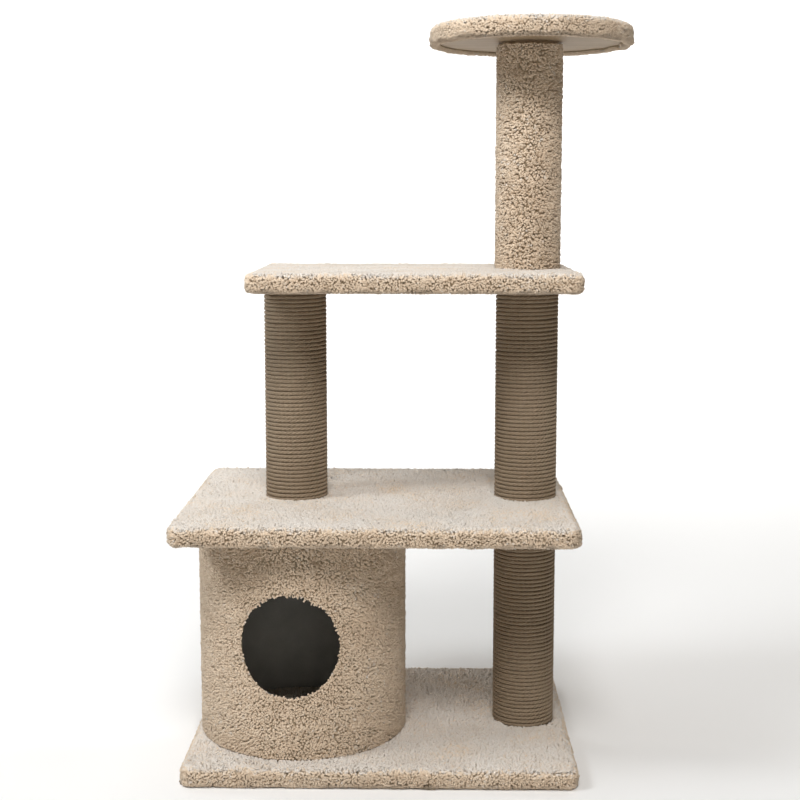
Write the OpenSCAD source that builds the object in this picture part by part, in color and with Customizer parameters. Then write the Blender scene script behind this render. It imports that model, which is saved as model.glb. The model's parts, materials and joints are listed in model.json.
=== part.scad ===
// Free-standing cat tree: a base, two shelves and a round perch, all carpeted boards, on four
// posts, with a round condo between the base and the middle shelf. The origin is the centre of
// the base on the floor, +Z is up, and the condo's entrance faces -Y.

/* [Boards] */
// Width of the base over its carpet
base_w = 600; // [590:5:640]
// Depth of the base over its carpet
base_d = 470; // [440:5:520]
// Width of the middle shelf over its carpet
middle_w = 608; // [600:4:640]
// Depth of the middle shelf over its carpet
middle_d = 470; // [440:5:500]
// Width of the upper shelf over its carpet
upper_w = 502; // [496:2:540]
// Depth of the upper shelf over its carpet
upper_d = 340; // [280:5:360]
// Diameter of the perch over its carpet
perch_dia = 315; // [280:5:360]
// Thickness of every board
board_t = 16; // [12:1:19]
// Radius of the shelves' corners seen from above
corner_r = 20; // [18:1:30]

/* [Levels] */
// Height of the middle shelf's underside above the floor
middle_z = 371; // [350:1:400]
// Height of the upper shelf's underside above the floor
upper_z = 737; // [700:1:760]
// Height of the perch's underside above the floor
perch_z = 1112; // [1050:1:1180]

/* [Layout] */
// Centre of the middle shelf to the right of the base's centre
middle_x = -6; // [-10:1:0]
// Centre of the middle shelf behind the base's centre
middle_y = -15; // [-25:1:0]
// Centre of the upper shelf to the right of the base's centre
upper_x = 52; // [48:1:58]
// Centre of the upper shelf behind the base's centre
upper_y = -17; // [-30:1:0]
// Centre of the perch to the right of the base's centre
perch_x = 232.5; // [225:0.5:240]
// Axis of the posts on the right
right_x = 230.5; // [225:0.5:232]
// Axis of the upper left post
left_x = -139; // [-142:1:-130]
// Line of all the posts behind the base's centre
post_y = -4; // [-20:1:20]

/* [Posts] */
// Outer diameter of the paper tube inside each post
core_dia = 87; // [80:1:88]
// Wall of the paper tube
core_wall = 8; // [5:0.5:10]
// Length of the wooden plug in each end of a tube
plug_l = 28; // [22:1:40]
// Diameter of the sisal rope
rope_dia = 6.5; // [5:0.5:6.5]
// Thickness of the carpet on the perch post
sleeve_t = 9; // [6:0.5:10]

/* [Condo] */
// Outer diameter of the condo over its carpet
condo_dia = 331; // [310:1:332]
// Centre of the condo to the right of the base's centre
condo_x = -127.5; // [-130:0.5:-120]
// Centre of the condo behind the base's centre
condo_y = -35; // [-50:1:-10]
// Turn of the condo on its axis, with the entrance towards the left when it is negative
condo_turn = -2.5; // [-10:0.5:10]
// Wall of the cardboard tube
condo_wall = 5; // [4:0.5:6]
// Thickness of the felt lining
lining_t = 3; // [2:0.5:4]
// Diameter of the entrance through the carpet
entrance_dia = 162; // [140:1:180]
// Height of the entrance's centre above the floor
entrance_z = 205; // [180:1:230]

/* [Carpet] */
// Thickness of the carpet on top of a board
pile_t = 10; // [6:0.5:12]
// Thickness of the carpet round the edge of a board and on the condo
side_t = 8; // [6:0.5:10]
// Thickness of the carpet folded under a board
lip_t = 5; // [4:0.5:6]
// Width of the carpet seen under a board, from its outer edge
lip_w = 17; // [15:0.5:17]
// Thickness left under a post that crushes the carpet
crushed_t = 3; // [2:0.5:4]

/* [Fasteners] */
// Diameter of the bolts and studs
bolt_dia = 8; // [6:1:8]
// Distance between the staples under a board
staple_pitch = 55; // [40:5:80]

/* [Hidden] */
$fn = 64;
eps = 1;                                  // how far a cutter runs past the face that it cuts
slab_h = lip_t + board_t + pile_t;        // a carpeted board's full thickness
top_round = 10;                           // rounding of the carpet over a board's top edge
foot_round = 7;                           // rounding of the carpet under a board's edge
board_corner_r = corner_r - side_t;
sink = lip_t + board_t + crushed_t;       // a post's foot, above the underside of the board it is on

core_r = core_dia / 2;
plug_r = core_r - core_wall;
rope_r = core_r + rope_dia;               // a sisal post's outer radius
rope_press_pitch = 0.98 * rope_dia;       // the most that two turns of rope are apart
sleeve_r = core_r + sleeve_t;             // the perch post's outer radius
fit_gap = 0.3;                            // gap between a post and the carpet cut round it

lower_post = [right_x, sink, middle_z + lip_t];
left_post = [left_x, middle_z + sink, upper_z + lip_t];
right_post = [right_x, middle_z + sink, upper_z + lip_t];
perch_post = [right_x, upper_z + sink, perch_z + lip_t];

condo_r = condo_dia / 2;
tube_r = condo_r - side_t;
disc_r = tube_r - condo_wall;
disc_t = 9;                               // plywood discs in the ends of the condo's tube
floor_carpet_t = 6;
lining_r = disc_r - lining_t;
entrance_r = entrance_dia / 2;
carpet_overhang = 2;                      // the carpet reaches this far past the tube's hole
tube_foot = lip_t + board_t;
tube_top = middle_z + lip_t;

bolt_r = bolt_dia / 2;
bolt_gap = 0.25;                          // clearance round a bolt in wood
bolt_head_r = 9;
bolt_head_t = 2.4;
insert_r = bolt_r + 2.5;
insert_l = 14;
stud_reach = 18;                          // length of a stud inside a plug
tee_flange_r = 11;
tee_flange_t = 1.4;
tee_barrel_r = bolt_r + 1.2;
tee_barrel_l = 10;
key_r = 2.6;                              // hexagon socket in a bolt's head
key_depth = 1.6;

screw_r = 1.9;
screw_head_r = 3.8;
screw_head_t = 2.4;
screw_sink = 0.6;                         // a head lies this deep in the condo's tube
disc_screw_l = 22;
tube_screw_l = 26;
disc_screw_ring = 112;                    // radius of the ring of screws through each disc
disc_screws = 4;
tube_screws = 6;

wire = 0.9;                               // thickness of a staple's wire
staple_w = 10;
staple_leg = 9;
staple_sink = 1.2;                        // a staple's back lies this deep in the carpet
staple_inset = (side_t + lip_w) / 2;      // from the carpet's outer edge to the row of staples
rope_staple_leg = 8;

// ---- shapes that repeat ----

// A plate w by d with round corners, centred, standing on z = 0
module plate(w, d, h, r) linear_extrude(h) {
    square([w - 2 * r, d], center = true);
    square([w, d - 2 * r], center = true);
    for (x = [-1, 1], y = [-1, 1]) translate([x * (w / 2 - r), y * (d / 2 - r)]) circle(r);
}

// The outline of a carpeted edge: it runs from x = 0 out to x = reach, and it is round at the
// top and at the foot
module edge_outline(reach) {
    square([reach - top_round, slab_h]);
    square([reach - foot_round, slab_h - top_round]);
    translate([0, foot_round]) square([reach, slab_h - top_round - foot_round]);
    translate([reach - top_round, slab_h - top_round]) circle(top_round);
    translate([reach - foot_round, foot_round]) circle(foot_round);
}

// A carpeted slab's full outside: straight edges, quarter-turn corners and a plain middle
module padded_slab(w, d) {
    run_w = w - 2 * corner_r;
    run_d = d - 2 * corner_r;
    linear_extrude(slab_h) square([run_w, run_d], center = true);
    for (side = [0, 1]) rotate(180 * side) {
        translate([run_w / 2, run_d / 2, 0]) rotate([90, 0, 0])
            linear_extrude(run_d) edge_outline(corner_r);
        translate([-run_w / 2, run_d / 2, 0]) rotate([90, 0, 90])
            linear_extrude(run_w) edge_outline(corner_r);
        translate([run_w / 2, run_d / 2, 0]) rotate_extrude(angle = 90) edge_outline(corner_r);
        translate([-run_w / 2, run_d / 2, 0]) rotate(90)
            rotate_extrude(angle = 90) edge_outline(corner_r);
    }
}

// A tube or a solid rod along Z
module tube(r, inner_r, z0, z1) translate([0, 0, z0]) difference() {
    cylinder(r = r, h = z1 - z0);
    translate([0, 0, -eps]) cylinder(r = inner_r, h = z1 - z0 + 2 * eps);
}
module rod(r, z0, z1) translate([0, 0, z0]) cylinder(r = r, h = z1 - z0);

// A countersunk wood screw that points up, with its head's flat at z = 0
module wood_screw(l) {
    cylinder(r1 = screw_head_r, r2 = screw_r, h = screw_head_t);
    rod(screw_r, 0, l - screw_r);
    translate([0, 0, l - screw_r]) cylinder(r1 = screw_r, r2 = 0.3, h = screw_r);
}

// What a wood screw takes out of the wood: itself and the way down to its head
module screw_way(l) {
    wood_screw(l);
    rod(screw_head_r, -screw_sink - eps, 0);
}

// A staple that points up, with its back at z = 0 along X
module staple(leg) {
    translate([-staple_w / 2, -wire / 2, 0]) cube([staple_w, wire, wire]);
    for (side = [-1, 1])
        translate([side * (staple_w - wire) / 2 - wire / 2, -wire / 2, 0]) cube([wire, wire, leg]);
}

// What a staple takes out of the carpet that it holds
module staple_slot() {
    staple(staple_leg);
    translate([-staple_w / 2, -wire / 2, -staple_sink - eps])
        cube([staple_w, wire, staple_sink + eps + wire / 2]);
}

// Puts its children at each staple under a rectangular board
module at_board_staples(w, d) {
    across = floor((w - 2 * corner_r) / staple_pitch);
    along = floor((d - 2 * corner_r) / staple_pitch);
    for (side = [-1, 1]) {
        for (i = [0 : across])
            translate([(i - across / 2) * staple_pitch, side * (d / 2 - staple_inset), staple_sink])
                children();
        for (i = [0 : along])
            translate([side * (w / 2 - staple_inset), (i - along / 2) * staple_pitch, staple_sink])
                rotate(90) children();
    }
}

// Puts its children at each staple under the perch
module at_perch_staples() {
    ring = perch_dia / 2 - staple_inset;
    count = floor(2 * PI * ring / staple_pitch);
    for (i = [0 : count - 1]) rotate((i + 0.5) * 360 / count)
        translate([0, ring, staple_sink]) children();
}

// ---- places ----

module on_middle() translate([middle_x, middle_y, middle_z]) children();
module on_upper() translate([upper_x, upper_y, upper_z]) children();
module on_perch() translate([perch_x, post_y, perch_z]) children();
module on_post(x) translate([x, post_y, 0]) children();
module on_condo() translate([condo_x, condo_y, 0]) rotate(condo_turn) children();

// ---- parts of the carpeted boards ----

module bare_board(w, d) translate([0, 0, lip_t])
    plate(w - 2 * side_t, d - 2 * side_t, board_t, board_corner_r);

// The carpet round a board: all of the slab but the board and the bare wood under it
module board_carpet(w, d) difference() {
    padded_slab(w, d);
    bare_board(w, d);
    translate([0, 0, -eps]) plate(w - 2 * lip_w, d - 2 * lip_w, lip_t + 2 * eps, board_corner_r);
    at_board_staples(w, d) staple_slot();
}

// A post's foot in the carpet of the board at height z
module foot_dent(x, z, r) on_post(x) rod(r + fit_gap, z + sink, z + slab_h + eps);

// A post's head under the board at height z
module head_notch(x, z, r) on_post(x) rod(r + fit_gap, z - eps, z + lip_t);

// A bolt's way through the board and the carpet at height z
module bolt_way(x, z) on_post(x) rod(bolt_r + bolt_gap, z - eps, z + sink + eps);

// ---- parts of the posts ----

module post_core(post) on_post(post[0]) difference() {
    tube(core_r, plug_r, post[1], post[2]);
    post_rope_staples(post);
}

// A plug with its insert's hole and the stud's way, mouth down at z = 0
module plug() difference() {
    rod(plug_r, 0, plug_l);
    rod(insert_r, -eps, insert_l);
    rod(bolt_r + bolt_gap, insert_l - eps, stud_reach + 2);
}
module bottom_plug(post) on_post(post[0]) translate([0, 0, post[1]]) plug();
module top_plug(post) on_post(post[0]) translate([0, 0, post[2]]) mirror([0, 0, 1]) plug();

module inserts(post) on_post(post[0]) {
    tube(insert_r, bolt_r, post[1], post[1] + insert_l);
    tube(insert_r, bolt_r, post[2] - insert_l, post[2]);
}

// The rope's turns, each one round in section and pressed a little into the next, from end to
// end of the post
module rope_turns(post) {
    span = post[2] - post[1];
    turns = ceil(span / rope_press_pitch);
    pitch = (span - rope_dia) / (turns - 1);
    rotate_extrude() {
        translate([core_r, post[1]]) square([rope_dia / 2, span]);
        for (i = [0 : turns - 1])
            translate([core_r + rope_dia / 2, post[1] + rope_dia / 2 + i * pitch])
                circle(rope_dia / 2);
    }
}

// The staples that hold the two ends of the rope, at the back of the post
module post_rope_staples(post) {
    for (z = [post[1] + 1.5 * rope_dia, post[2] - 1.5 * rope_dia])
        translate([0, rope_r, z]) rotate([90, 90, 0]) staple(rope_staple_leg);
}
module post_rope(post) on_post(post[0]) difference() {
    rope_turns(post);
    post_rope_staples(post);
}

// ---- bolts ----

// A flat-headed bolt with a hexagon socket, which points up from its head's seat at z = 0
module flat_bolt(l) difference() {
    union() {
        rod(bolt_head_r, -bolt_head_t, 0);
        rod(bolt_r, 0, l);
    }
    translate([0, 0, -bolt_head_t - eps]) cylinder(r = key_r, h = key_depth + eps, $fn = 6);
}
module tee_nut() difference() {
    union() {
        rod(tee_flange_r, 0, tee_flange_t);
        rod(tee_barrel_r, -tee_barrel_l, tee_flange_t);
    }
    rod(bolt_r, -tee_barrel_l - eps, tee_flange_t + eps);
}
module tee_nut_ways(x, z) on_post(x) translate([0, 0, z + lip_t + board_t]) {
    rod(tee_barrel_r, -tee_barrel_l, eps);
    rod(tee_flange_r, 0, tee_flange_t);
    rod(bolt_r + bolt_gap, -board_t - eps, 0);
}

// ---- the base ----

module base_board() color("burlywood") difference() {
    bare_board(base_w, base_d);
    bolt_way(right_x, 0);
    at_board_staples(base_w, base_d) staple(staple_leg);
    condo_floor_screw_set();
}
module base_carpet() color("antiquewhite") difference() {
    board_carpet(base_w, base_d);
    foot_dent(right_x, 0, rope_r);
    bolt_way(right_x, 0);
    on_condo() rod(tube_r, tube_foot, slab_h + eps);
}
module base_staples() color("silver") at_board_staples(base_w, base_d) staple(staple_leg);

// ---- the condo ----

// The entrance through the wall on the condo's -Y side
module entrance(r) translate([0, 0, entrance_z]) rotate([90, 0, 0]) cylinder(r = r, h = condo_r + eps);

module condo_tube() color("peru") on_condo() difference() {
    tube(tube_r, disc_r, tube_foot, tube_top);
    entrance(entrance_r + carpet_overhang);
    at_tube_screws() screw_way(tube_screw_l);
}
module condo_carpet() color("wheat") on_condo() difference() {
    tube(condo_r, tube_r, slab_h, middle_z);
    entrance(entrance_r);
}
module condo_lining() color("dimgray") on_condo() difference() {
    tube(disc_r, lining_r, tube_foot + disc_t, tube_top - disc_t);
    entrance(entrance_r + carpet_overhang);
}
module condo_floor_disc() color("burlywood") difference() {
    on_condo() rod(disc_r, tube_foot, tube_foot + disc_t);
    condo_floor_screw_set();
    on_condo() at_tube_screws() wood_screw(tube_screw_l);
}
module condo_floor_carpet() color("antiquewhite") on_condo()
    rod(lining_r, tube_foot + disc_t, tube_foot + disc_t + floor_carpet_t);
module condo_roof_disc() color("burlywood") difference() {
    on_condo() rod(disc_r, tube_top - disc_t, tube_top);
    condo_roof_screw_set();
    on_condo() at_tube_screws() wood_screw(tube_screw_l);
    on_post(left_x) rod(bolt_r + bolt_gap, tube_top - disc_t - eps, tube_top + eps);
}

module condo_floor_screw_set() on_condo()
    for (i = [0 : disc_screws - 1]) rotate((i + 0.5) * 360 / disc_screws)
        translate([disc_screw_ring, 0, tube_foot + disc_t]) mirror([0, 0, 1]) wood_screw(disc_screw_l);
module condo_roof_screw_set() on_condo()
    for (i = [0 : disc_screws - 1]) rotate((i + 0.5) * 360 / disc_screws)
        translate([disc_screw_ring, 0, tube_top - disc_t]) wood_screw(disc_screw_l);

// Puts its children at each screw through the tube into the edges of both discs, pointing in,
// with its head sunk under the carpet
module at_tube_screws()
    for (z = [tube_foot + disc_t / 2, tube_top - disc_t / 2], i = [0 : tube_screws - 1])
        rotate(i * 360 / tube_screws) translate([tube_r - screw_sink, 0, z]) rotate([0, -90, 0])
            children();

module condo_floor_screws() color("silver") condo_floor_screw_set();
module condo_roof_screws() color("silver") condo_roof_screw_set();
module condo_tube_screws() color("silver")
    on_condo() at_tube_screws() wood_screw(tube_screw_l);

// ---- the middle shelf ----

module middle_board() color("burlywood") difference() {
    on_middle() bare_board(middle_w, middle_d);
    bolt_way(right_x, middle_z);
    bolt_way(left_x, middle_z);
    on_middle() at_board_staples(middle_w, middle_d) staple(staple_leg);
    condo_roof_screw_set();
}
module middle_carpet() color("antiquewhite") difference() {
    on_middle() board_carpet(middle_w, middle_d);
    foot_dent(right_x, middle_z, rope_r);
    foot_dent(left_x, middle_z, rope_r);
    head_notch(right_x, middle_z, rope_r);
    bolt_way(right_x, middle_z);
    bolt_way(left_x, middle_z);
    on_condo() rod(tube_r + fit_gap, middle_z - eps, tube_top);
}
module middle_staples() color("silver")
    on_middle() at_board_staples(middle_w, middle_d) staple(staple_leg);

// ---- the upper shelf ----

module upper_board() color("burlywood") difference() {
    on_upper() bare_board(upper_w, upper_d);
    bolt_way(right_x, upper_z);
    tee_nut_ways(left_x, upper_z);
    on_upper() at_board_staples(upper_w, upper_d) staple(staple_leg);
}
module upper_carpet() color("antiquewhite") difference() {
    on_upper() board_carpet(upper_w, upper_d);
    foot_dent(right_x, upper_z, sleeve_r);
    head_notch(right_x, upper_z, rope_r);
    head_notch(left_x, upper_z, rope_r);
    bolt_way(right_x, upper_z);
    tee_nut_ways(left_x, upper_z);
}
module upper_staples() color("silver")
    on_upper() at_board_staples(upper_w, upper_d) staple(staple_leg);

// ---- the perch ----

module perch_board() color("burlywood") difference() {
    on_perch() rod(perch_dia / 2 - side_t, lip_t, lip_t + board_t);
    tee_nut_ways(right_x, perch_z);
    on_perch() at_perch_staples() staple(staple_leg);
}
module perch_carpet() color("wheat") difference() {
    on_perch() rotate_extrude() difference() {
        edge_outline(perch_dia / 2);
        translate([0, lip_t]) square([perch_dia / 2 - side_t, board_t]);
        translate([0, -eps]) square([perch_dia / 2 - lip_w, lip_t + 2 * eps]);
    }
    tee_nut_ways(right_x, perch_z);
    on_perch() at_perch_staples() staple_slot();
}
module perch_staples() color("silver") on_perch() at_perch_staples() staple(staple_leg);

// ---- the posts ----

module lower_post_core() color("tan") post_core(lower_post);
module lower_post_bottom_plug() color("navajowhite") bottom_plug(lower_post);
module lower_post_top_plug() color("navajowhite") top_plug(lower_post);
module lower_post_inserts() color("goldenrod") inserts(lower_post);
module lower_post_rope() color("darkkhaki") post_rope(lower_post);

module left_post_core() color("tan") post_core(left_post);
module left_post_bottom_plug() color("navajowhite") bottom_plug(left_post);
module left_post_top_plug() color("navajowhite") top_plug(left_post);
module left_post_inserts() color("goldenrod") inserts(left_post);
module left_post_rope() color("darkkhaki") post_rope(left_post);

module right_post_core() color("tan") post_core(right_post);
module right_post_bottom_plug() color("navajowhite") bottom_plug(right_post);
module right_post_top_plug() color("navajowhite") top_plug(right_post);
module right_post_inserts() color("goldenrod") inserts(right_post);
module right_post_rope() color("darkkhaki") post_rope(right_post);

module perch_post_core() color("tan")
    on_post(right_x) tube(core_r, plug_r, perch_post[1], perch_post[2]);
module perch_post_bottom_plug() color("navajowhite") bottom_plug(perch_post);
module perch_post_top_plug() color("navajowhite") top_plug(perch_post);
module perch_post_inserts() color("goldenrod") inserts(perch_post);
// The carpet sleeve stops at the folded edge of the perch's carpet, short of the bare board
module perch_post_carpet() color("wheat")
    on_post(right_x) tube(sleeve_r, core_r, perch_post[1], perch_z);

// ---- the fasteners ----

module base_bolt() color("silver")
    on_post(right_x) translate([0, 0, lip_t]) flat_bolt(board_t + crushed_t + stud_reach);
module left_post_bolt() color("silver") on_post(left_x)
    translate([0, 0, tube_top - disc_t]) flat_bolt(disc_t + board_t + crushed_t + stud_reach);
module middle_shelf_stud() color("silver")
    on_post(right_x) rod(bolt_r, lower_post[2] - stud_reach, right_post[1] + stud_reach);
module upper_shelf_stud() color("silver")
    on_post(right_x) rod(bolt_r, right_post[2] - stud_reach, perch_post[1] + stud_reach);
module left_post_stud() color("silver")
    on_post(left_x) rod(bolt_r, left_post[2] - stud_reach, left_post[2] + board_t);
module perch_stud() color("silver")
    on_post(right_x) rod(bolt_r, perch_post[2] - stud_reach, perch_post[2] + board_t);
module upper_tee_nut() color("silver")
    on_post(left_x) translate([0, 0, upper_z + lip_t + board_t]) tee_nut();
module perch_tee_nut() color("silver")
    on_post(right_x) translate([0, 0, perch_z + lip_t + board_t]) tee_nut();
module rope_staples() color("silver")
    for (post = [lower_post, left_post, right_post]) on_post(post[0]) post_rope_staples(post);

base_board();
base_carpet();
base_staples();
condo_tube();
condo_carpet();
condo_lining();
condo_floor_disc();
condo_floor_carpet();
condo_roof_disc();
condo_floor_screws();
condo_roof_screws();
condo_tube_screws();
lower_post_core();
lower_post_bottom_plug();
lower_post_top_plug();
lower_post_inserts();
lower_post_rope();
left_post_core();
left_post_bottom_plug();
left_post_top_plug();
left_post_inserts();
left_post_rope();
right_post_core();
right_post_bottom_plug();
right_post_top_plug();
right_post_inserts();
right_post_rope();
perch_post_core();
perch_post_bottom_plug();
perch_post_top_plug();
perch_post_inserts();
perch_post_carpet();
middle_board();
middle_carpet();
middle_staples();
upper_board();
upper_carpet();
upper_staples();
perch_board();
perch_carpet();
perch_staples();
base_bolt();
left_post_bolt();
middle_shelf_stud();
upper_shelf_stud();
left_post_stud();
perch_stud();
upper_tee_nut();
perch_tee_nut();
rope_staples();
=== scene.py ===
"""The looks of a carpeted cat tree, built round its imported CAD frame.

Each carpet is a thin backing sheet, stretched over its board or tube, with a pile of separate
yarn tufts on it. Each sisal post is wound with one three-strand rope. The boards, discs, tubes,
plugs and fasteners are the CAD's own solids with procedural materials.
"""

import json
import math
from math import pi, tau

import bpy
import numpy as np
from mathutils import Euler, Matrix, Vector
from mathutils.geometry import delaunay_2d_cdt
from mathutils.kdtree import KDTree


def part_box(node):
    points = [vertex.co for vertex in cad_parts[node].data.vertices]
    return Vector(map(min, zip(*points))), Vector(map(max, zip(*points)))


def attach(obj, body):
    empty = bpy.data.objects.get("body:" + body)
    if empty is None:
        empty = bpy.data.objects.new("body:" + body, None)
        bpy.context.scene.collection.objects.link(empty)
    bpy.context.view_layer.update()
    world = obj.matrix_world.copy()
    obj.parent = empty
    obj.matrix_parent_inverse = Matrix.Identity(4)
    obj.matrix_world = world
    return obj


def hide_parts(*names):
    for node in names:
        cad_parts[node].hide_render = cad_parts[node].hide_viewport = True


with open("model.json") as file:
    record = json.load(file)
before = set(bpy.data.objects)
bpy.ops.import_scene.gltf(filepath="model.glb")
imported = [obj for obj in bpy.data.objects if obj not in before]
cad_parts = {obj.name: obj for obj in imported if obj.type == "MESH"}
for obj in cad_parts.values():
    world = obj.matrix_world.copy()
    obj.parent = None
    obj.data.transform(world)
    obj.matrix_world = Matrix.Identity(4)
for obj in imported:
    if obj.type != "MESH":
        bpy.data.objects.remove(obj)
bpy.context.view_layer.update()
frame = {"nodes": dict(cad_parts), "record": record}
nodes = frame["nodes"]
BODY = "root"
MM = 0.001
UV_NAME = "OFBake"

# ------ sizes that the frame lacks

CORNER_R = 20 * MM            # plan radius of the shelves' corners over the carpet
LIP_W = 17 * MM               # carpet seen under a board, from its outer edge
BACKING_T = 2 * MM            # from a board or tube to the roots of the pile
BACKING_GAP = 0.2 * MM        # glue between a backing and what it covers
EDGE_BEND = 4 * MM            # radius inside the backing's bend round a board's edge
CONDO_TURN = math.radians(-2.5)   # of its door and seam, from the front and the back
ENTRANCE_Z = 205 * MM         # height of the door's middle
CARPET_HOLE = (-1 * MM, ENTRANCE_Z + 0.7 * MM, 79.5 * MM, 81.5 * MM)   # centre, half sizes
LINING_HOLE_R = 83.3 * MM
LINING_SEAM_TURN = math.radians(-95)   # from the back of the condo to the lining's seam
SEAM_GAP = 0.4 * MM
ROPE_DIA = 6.5 * MM
WRAP_FAN = (0, 1.8, 1, 1.4, 1)   # rows of pile to a gap at its start, bend, side, bend and lip
ROW_STEP = math.sqrt(3) / 2   # between the rows of a triangular grid whose points are 1 apart


class Box:
    """A CAD node's box: the middle of its plan, half its size, and its ends in z."""

    def __init__(self, node):
        low, high = (np.array(corner, float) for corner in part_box(node))
        self.centre = (low[:2] + high[:2]) / 2
        self.half = (high - low) / 2
        self.low, self.top = low[2], high[2]


class Slab(Box):
    """A carpeted board: the carpet's outer size, its plan shape and where the board lies."""

    def __init__(self, name, is_round=False):
        super().__init__(name + "_carpet")
        self.name = name
        self.is_round = is_round
        self.board = Box(name + "_board")
        self.side_t = self.half[0] - self.board.half[0]
        self.bend = EDGE_BEND + BACKING_T
        self.quarter = self.bend * pi / 2
        self.side = self.board.top - self.board.low - 2 * EDGE_BEND
        self.lip = LIP_W - self.side_t - EDGE_BEND

    def outline(self, count, inset):
        """count points spread evenly round the plan, this far in from the carpet's face."""
        return self.at(even_turns(count), np.full(count, inset))[0]

    def at(self, turn, inset):
        """The points and outward directions at shares turn (0 to 1) of the way round. A shelf's
        way round has eight legs: from the right, a side and a corner's arc in turn."""
        if self.is_round:
            out = heading(tau * turn)
            return self.centre + out * (self.half[0] - inset)[:, None], out
        hx, hy = self.half[:2] - CORNER_R
        arc = CORNER_R * pi / 2
        runs = np.array([2 * hy, arc, 2 * hx, arc, 2 * hy, arc, 2 * hx, arc])
        ends = np.cumsum(runs)
        s = (turn % 1.0) * ends[-1]
        leg = np.searchsorted(ends, s, side="right").clip(0, 7)
        along = s - (ends - runs)[leg]
        side = leg // 2
        on_arc = leg % 2 == 1
        out = heading(side * pi / 2 + np.where(on_arc, along / CORNER_R, 0.0))
        corner = np.array([[hx, hy], [-hx, hy], [-hx, -hy], [hx, -hy]])[side]
        forward = np.stack([-np.sin(side * pi / 2), np.cos(side * pi / 2)], 1)
        back = np.where(on_arc, 0.0, runs[leg] - along)
        start = corner - forward * back[:, None]
        return self.centre + start + out * (CORNER_R - inset)[:, None], out

    def girth(self):
        if self.is_round:
            return tau * self.half[0]
        return 4 * (self.half[:2] - CORNER_R).sum() + tau * CORNER_R

    def wrap(self, s):
        """The backing's outer face round the edge: insets, heights and normals (out, up) at
        lengths s from the start of the bend at the top edge."""
        s = np.asarray(s, float)
        top_angle = (s / self.bend).clip(0, pi / 2)
        low_angle = ((s - self.quarter - self.side) / self.bend).clip(0, pi / 2)
        angle = pi / 2 - top_angle - low_angle
        down = (s - self.quarter).clip(0, self.side)
        under = (s - 2 * self.quarter - self.side).clip(0, None)
        inset = self.side_t + EDGE_BEND - self.bend * np.cos(angle) + under
        height = self.board.top - EDGE_BEND - down + self.bend * np.sin(angle)
        return inset, height, np.cos(angle), np.sin(angle)

    def wrap_length(self):
        """From the start of the bend at the top to the cut edge of the lip."""
        return 2 * self.quarter + self.side + self.lip

    def rows(self, gap):
        """Lengths s, about a gap apart, and closer on the bends, where the pile fans out."""
        legs = np.array([0, self.quarter, self.side, self.quarter, self.lip])
        marks = np.cumsum(legs * WRAP_FAN)
        steps = np.linspace(0, marks[-1], round(marks[-1] / gap) + 1)
        return np.interp(steps, marks, np.cumsum(legs))

    def flat_size(self):
        """The size that the carpet was cut to."""
        return tuple(2 * (self.half[:2] - self.side_t - EDGE_BEND) + 2 * self.wrap_length())


class Wall(Box):
    """A sheet round an upright tube, between two radii, unrolled from its front."""

    def __init__(self, node, roots_at, turn=0.0, inward=False):
        super().__init__(node)
        self.face = self.half[1]
        self.radius = roots_at
        self.turn = turn
        self.inward = inward

    def at(self, across, height):
        """The points, the normals and the directions along the wall, at these places on it."""
        plan = heading(across / self.radius + self.turn - pi / 2)
        out = lifted(plan)
        along = np.stack([-out[:, 1], out[:, 0], out[:, 2]], 1)
        points = lifted(self.centre + plan * self.radius, height)
        return points, (-out if self.inward else out), along

    def half_girth(self):
        return pi * self.radius - SEAM_GAP / 2

    def outline(self, spacing):
        """The unrolled sheet's outline, with points about spacing apart."""
        wide, low, top = self.half_girth(), self.low, self.top
        corners = [(-wide, low), (wide, low), (wide, top), (-wide, top)]
        return subdivided(np.array(corners), spacing)

    def flat_size(self):
        return 2 * self.half_girth(), self.top - self.low

    def area(self):
        return math.prod(self.flat_size())


class Post(Box):
    """An upright tube, its core, and the rope or carpet on it, its cover."""

    def __init__(self, name, cover):
        super().__init__(name + cover)
        self.name = name
        core = Box(name + "_core")
        self.centre, self.core_r = core.centre, core.half[1]
        self.radius = self.half[1]

    def foot(self):
        return (*self.centre, self.radius)


def even_turns(count):
    """Shares of the way round, at the middles of count even steps."""
    return (np.arange(count) + 0.5) / count


def heading(angle):
    """Unit vectors in plan, at these angles from +X."""
    return np.stack([np.cos(angle), np.sin(angle)], 1)


def lifted(plan, height=0.0):
    """Plan points at one height, or each at its own."""
    return np.column_stack([plan, np.broadcast_to(height, len(plan))])


def subdivided(loop, spacing):
    """The loop with points added so that none is further than spacing from the next."""
    points = []
    for a, b in zip(loop, np.roll(loop, -1, axis=0)):
        count = max(1, math.ceil(np.linalg.norm(b - a) / spacing))
        points += [a + (b - a) * i / count for i in range(count)]
    return np.array(points)


def round_loop(x, y, half_w, half_h=None, count=96):
    """A circle, or an ellipse where half_h is given, as a loop of points."""
    angle = np.linspace(0, tau, count, endpoint=False)
    return heading(angle) * (half_w, half_h or half_w) + (x, y)


# ------ camera, floor and light

def add_object(name, data):
    obj = bpy.data.objects.new(name, data)
    bpy.context.scene.collection.objects.link(obj)
    return obj


CAMERA_PLACE = (0.068, -2.210, 0.872)
CAMERA_YAW, CAMERA_PITCH = -0.018, 0.121   # how far it turns right, and down
LENS, SHIFT_UP = 62.35, -0.0375   # focal length in mm, and share of the picture's width


def camera():
    """A short telephoto lens in front of the tree, just right of its middle and high up."""
    data = bpy.data.cameras.new("camera")
    data.sensor_width = 36.0
    data.lens = LENS
    data.shift_y = SHIFT_UP
    data.clip_end = 30
    aim = Euler((pi / 2 - CAMERA_PITCH, 0, -CAMERA_YAW))
    eye = add_object("camera", data)
    eye.matrix_world = Matrix.LocRotScale(Vector(CAMERA_PLACE), aim, None)
    bpy.context.scene.camera = eye


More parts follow.
